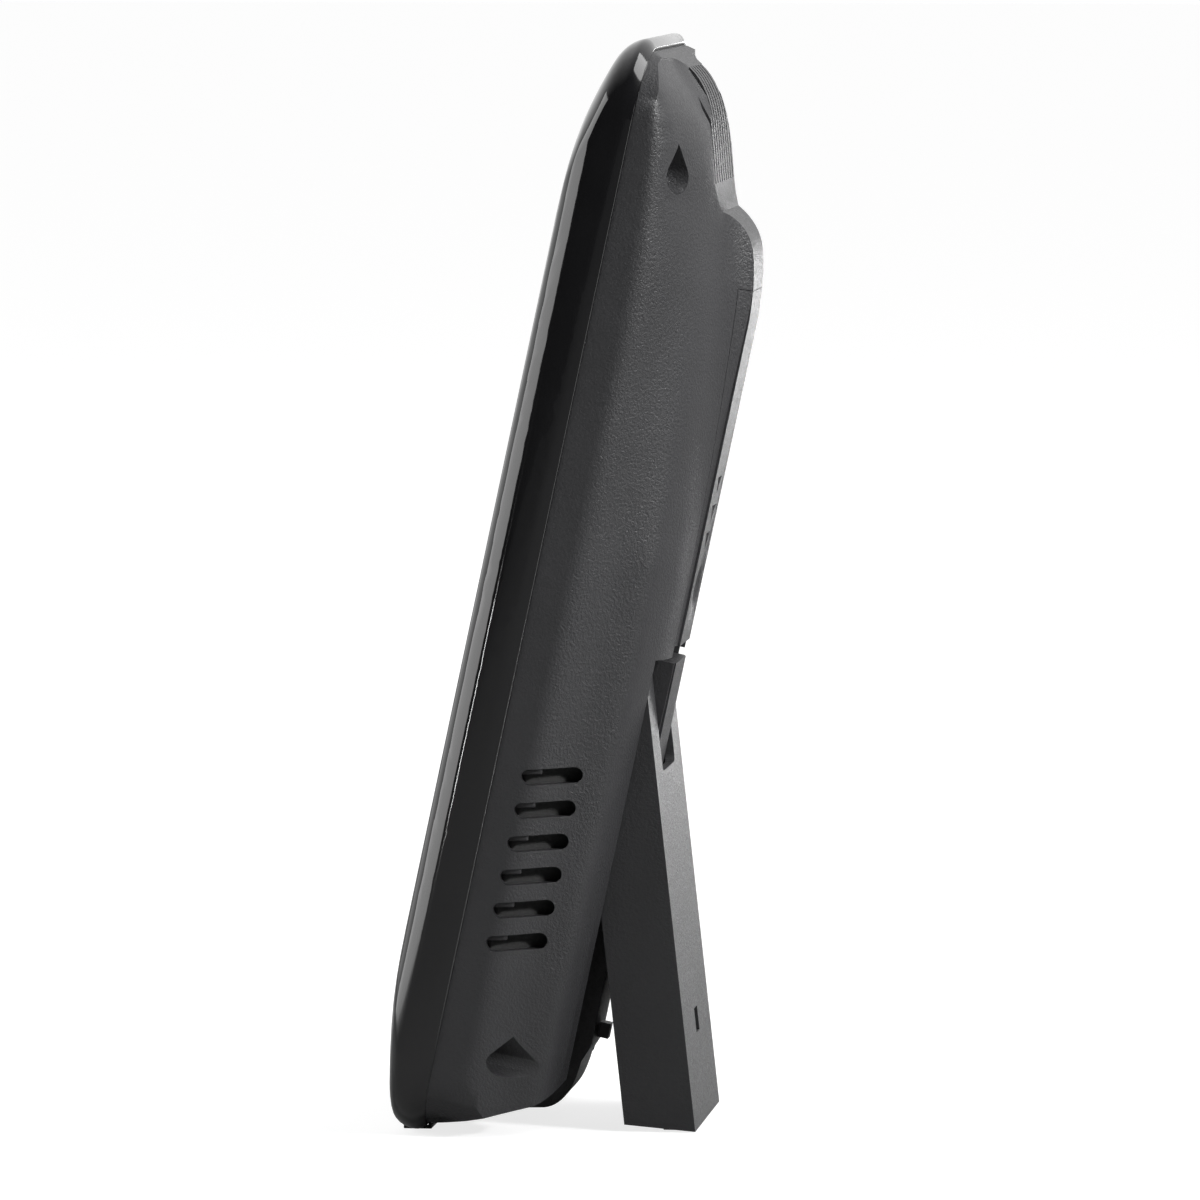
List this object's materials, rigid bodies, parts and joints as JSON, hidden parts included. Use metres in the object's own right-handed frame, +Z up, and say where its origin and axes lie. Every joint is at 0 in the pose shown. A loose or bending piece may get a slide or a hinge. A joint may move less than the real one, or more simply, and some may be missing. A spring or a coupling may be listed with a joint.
{
  "type": "cordless phone",
  "caption": "Tall slab cordless telephone with a glossy front bezel and a textured ribbed back, leaning back on a fold-out stand.",
  "frame": {"origin": "centre of the footprint on the surface the telephone stands on", "axes": "+Z up, the face with display and keys looks to -Y, the stand is on the +Y side, X runs across"},
  "size_m": [0.064, 0.0552, 0.1706],
  "materials": {
    "gloss_black": "polished",
    "textured_black": "fine spark texture",
    "display_glass": "polished",
    "screen": "dark display",
    "inner_plastic": "moulded",
    "steel": "satin",
    "speaker_black": "moulded",
    "aluminium_can": "satin",
    "key_rubber": "matte",
    "board_green": "solder mask",
    "chip_black": "moulded",
    "copper_trace": "plated",
    "cell_sleeve": "shrink sleeve over a metal can",
    "foot_rubber": "matte",
    "key_black": "satin",
    "key_green": "satin",
    "key_red": "satin"
  },
  "bodies": {
    "housing": {"antenna": "copper_trace", "battery_cell": "cell_sleeve", "battery_contacts": "copper_trace", "battery_tray": "inner_plastic", "board_connector": "inner_plastic", "board_screws": "steel", "charging_socket": "steel", "display_frame": "inner_plastic", "display_lens": "display_glass", "display_module": "screen", "earpiece_grille": "steel", "earpiece_speaker": "speaker_black", "front_bezel": "gloss_black", "front_feet": "foot_rubber", "housing_screws": "steel", "keypad_board": "board_green", "keypad_mat": "key_rubber", "loudspeaker_left": "speaker_black", "loudspeaker_right": "speaker_black", "main_board": "board_green", "main_chips": "chip_black", "microphone": "aluminium_can", "radio_shield": "steel", "rear_housing": "textured_black", "stand_pins": "steel"},
    "stand": {"stand": "textured_black", "stand_foot": "foot_rubber", "detent_washers": "inner_plastic"},
    "battery_cover": {"battery_door": "textured_black"},
    "key_0_button": {"key_0": "key_black"},
    "key_1_button": {"key_1": "key_black"},
    "key_2_button": {"key_2": "key_black"},
    "key_3_button": {"key_3": "key_black"},
    "key_4_button": {"key_4": "key_black"},
    "key_5_button": {"key_5": "key_black"},
    "key_6_button": {"key_6": "key_black"},
    "key_7_button": {"key_7": "key_black"},
    "key_8_button": {"key_8": "key_black"},
    "key_9_button": {"key_9": "key_black"},
    "key_end_button": {"key_end": "key_red"},
    "key_hash_button": {"key_hash": "key_black"},
    "key_nav_button": {"key_nav": "key_black"},
    "key_ok_button": {"key_ok": "key_black"},
    "key_soft_left_button": {"key_soft_left": "key_black"},
    "key_soft_right_button": {"key_soft_right": "key_black"},
    "key_star_button": {"key_star": "key_black"},
    "key_talk_button": {"key_talk": "key_green"}
  },
  "joints": [
    {"name": "stand_hinge", "type": "hinge", "parent": "housing", "child": "stand", "pos_m": [0, 0.00464, 0.05443], "axis": [1, 0, 0], "range_deg": [-18.3, 0]},
    {"name": "battery_cover_slide", "type": "slide", "parent": "housing", "child": "battery_cover", "axis": [0, -0.2079, -0.9781], "range_m": [0, 0.0025]},
    {"name": "key_0_press", "type": "slide", "parent": "housing", "child": "key_0_button", "axis": [0, 0.9781, -0.2079], "range_m": [0, 0.0005], "stiffness_N_per_m": 1500},
    {"name": "key_1_press", "type": "slide", "parent": "housing", "child": "key_1_button", "axis": [0, 0.9781, -0.2079], "range_m": [0, 0.0005], "stiffness_N_per_m": 1500},
    {"name": "key_2_press", "type": "slide", "parent": "housing", "child": "key_2_button", "axis": [0, 0.9781, -0.2079], "range_m": [0, 0.0005], "stiffness_N_per_m": 1500},
    {"name": "key_3_press", "type": "slide", "parent": "housing", "child": "key_3_button", "axis": [0, 0.9781, -0.2079], "range_m": [0, 0.0005], "stiffness_N_per_m": 1500},
    {"name": "key_4_press", "type": "slide", "parent": "housing", "child": "key_4_button", "axis": [0, 0.9781, -0.2079], "range_m": [0, 0.0005], "stiffness_N_per_m": 1500},
    {"name": "key_5_press", "type": "slide", "parent": "housing", "child": "key_5_button", "axis": [0, 0.9781, -0.2079], "range_m": [0, 0.0005], "stiffness_N_per_m": 1500},
    {"name": "key_6_press", "type": "slide", "parent": "housing", "child": "key_6_button", "axis": [0, 0.9781, -0.2079], "range_m": [0, 0.0005], "stiffness_N_per_m": 1500},
    {"name": "key_7_press", "type": "slide", "parent": "housing", "child": "key_7_button", "axis": [0, 0.9781, -0.2079], "range_m": [0, 0.0005], "stiffness_N_per_m": 1500},
    {"name": "key_8_press", "type": "slide", "parent": "housing", "child": "key_8_button", "axis": [0, 0.9781, -0.2079], "range_m": [0, 0.0005], "stiffness_N_per_m": 1500},
    {"name": "key_9_press", "type": "slide", "parent": "housing", "child": "key_9_button", "axis": [0, 0.9781, -0.2079], "range_m": [0, 0.0005], "stiffness_N_per_m": 1500},
    {"name": "key_end_press", "type": "slide", "parent": "housing", "child": "key_end_button", "axis": [0, 0.9781, -0.2079], "range_m": [0, 0.0005], "stiffness_N_per_m": 1500},
    {"name": "key_hash_press", "type": "slide", "parent": "housing", "child": "key_hash_button", "axis": [0, 0.9781, -0.2079], "range_m": [0, 0.0005], "stiffness_N_per_m": 1500},
    {"name": "key_nav_press", "type": "slide", "parent": "housing", "child": "key_nav_button", "axis": [0, 0.9781, -0.2079], "range_m": [0, 0.0005], "stiffness_N_per_m": 1500},
    {"name": "key_ok_press", "type": "slide", "parent": "housing", "child": "key_ok_button", "axis": [0, 0.9781, -0.2079], "range_m": [0, 0.0005], "stiffness_N_per_m": 1500},
    {"name": "key_soft_left_press", "type": "slide", "parent": "housing", "child": "key_soft_left_button", "axis": [0, 0.9781, -0.2079], "range_m": [0, 0.0005], "stiffness_N_per_m": 1500},
    {"name": "key_soft_right_press", "type": "slide", "parent": "housing", "child": "key_soft_right_button", "axis": [0, 0.9781, -0.2079], "range_m": [0, 0.0005], "stiffness_N_per_m": 1500},
    {"name": "key_star_press", "type": "slide", "parent": "housing", "child": "key_star_button", "axis": [0, 0.9781, -0.2079], "range_m": [0, 0.0005], "stiffness_N_per_m": 1500},
    {"name": "key_talk_press", "type": "slide", "parent": "housing", "child": "key_talk_button", "axis": [0, 0.9781, -0.2079], "range_m": [0, 0.0005], "stiffness_N_per_m": 1500}
  ]
}
